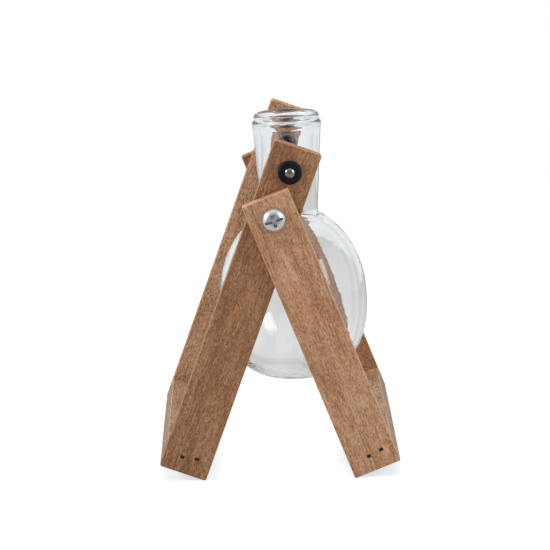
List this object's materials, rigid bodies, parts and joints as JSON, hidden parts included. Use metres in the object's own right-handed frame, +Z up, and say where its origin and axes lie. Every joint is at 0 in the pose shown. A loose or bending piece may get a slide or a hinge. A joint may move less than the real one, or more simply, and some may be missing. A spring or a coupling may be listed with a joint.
{
  "type": "propagation vase",
  "caption": "Round-bottomed glass flask hung by its neck between crossed wooden legs that fold like a trestle; the flask swings on pins with rubber bumpers.",
  "frame": {"origin": "on the table under the middle of the stand", "axes": "+X to the right as seen from the front, from the long legs' feet to the short legs' feet; +Y away from the viewer, along the pivot screws and neck pins; +Z up"},
  "size_m": [0.096, 0.1352, 0.1388],
  "materials": {
    "long_frame_wood": "oiled medium-brown hardwood with short dark pores",
    "short_frame_wood": "oiled medium-brown hardwood with short dark pores",
    "dark_steel": "dark oxidised brad ends",
    "zinc_plated_steel": "bright zinc plate",
    "polished_steel": "polished steel",
    "black_rubber": "smooth black rubber",
    "clear_glass": "clear hand-finished glass"
  },
  "bodies": {
    "long_frame": {"front_long_leg": "long_frame_wood", "rear_long_leg": "long_frame_wood", "long_leg_crossbar": "long_frame_wood", "long_frame_brads": "dark_steel", "front_pivot_screw": "zinc_plated_steel", "rear_pivot_screw": "zinc_plated_steel", "front_pivot_washer": "zinc_plated_steel", "rear_pivot_washer": "zinc_plated_steel", "front_pivot_nut": "zinc_plated_steel", "rear_pivot_nut": "zinc_plated_steel", "front_neck_pin": "polished_steel", "rear_neck_pin": "polished_steel", "front_rubber_ring": "black_rubber", "rear_rubber_ring": "black_rubber", "front_neck_bumper": "black_rubber", "rear_neck_bumper": "black_rubber"},
    "short_frame": {"front_short_leg": "short_frame_wood", "rear_short_leg": "short_frame_wood", "short_leg_crossbar": "short_frame_wood", "short_frame_brads": "dark_steel"},
    "flask": {"glass_flask": "clear_glass"}
  },
  "joints": [
    {"name": "leg_fold", "type": "hinge", "parent": "long_frame", "child": "short_frame", "pos_m": [0.00158, 0, 0.10605], "axis": [0, 1, 0], "range_deg": [-49, 29.7]},
    {"name": "flask_swing", "type": "hinge", "parent": "long_frame", "child": "flask", "pos_m": [0.00859, 0, 0.12376], "axis": [0, 1, 0], "range_deg": [-90, 90]}
  ]
}
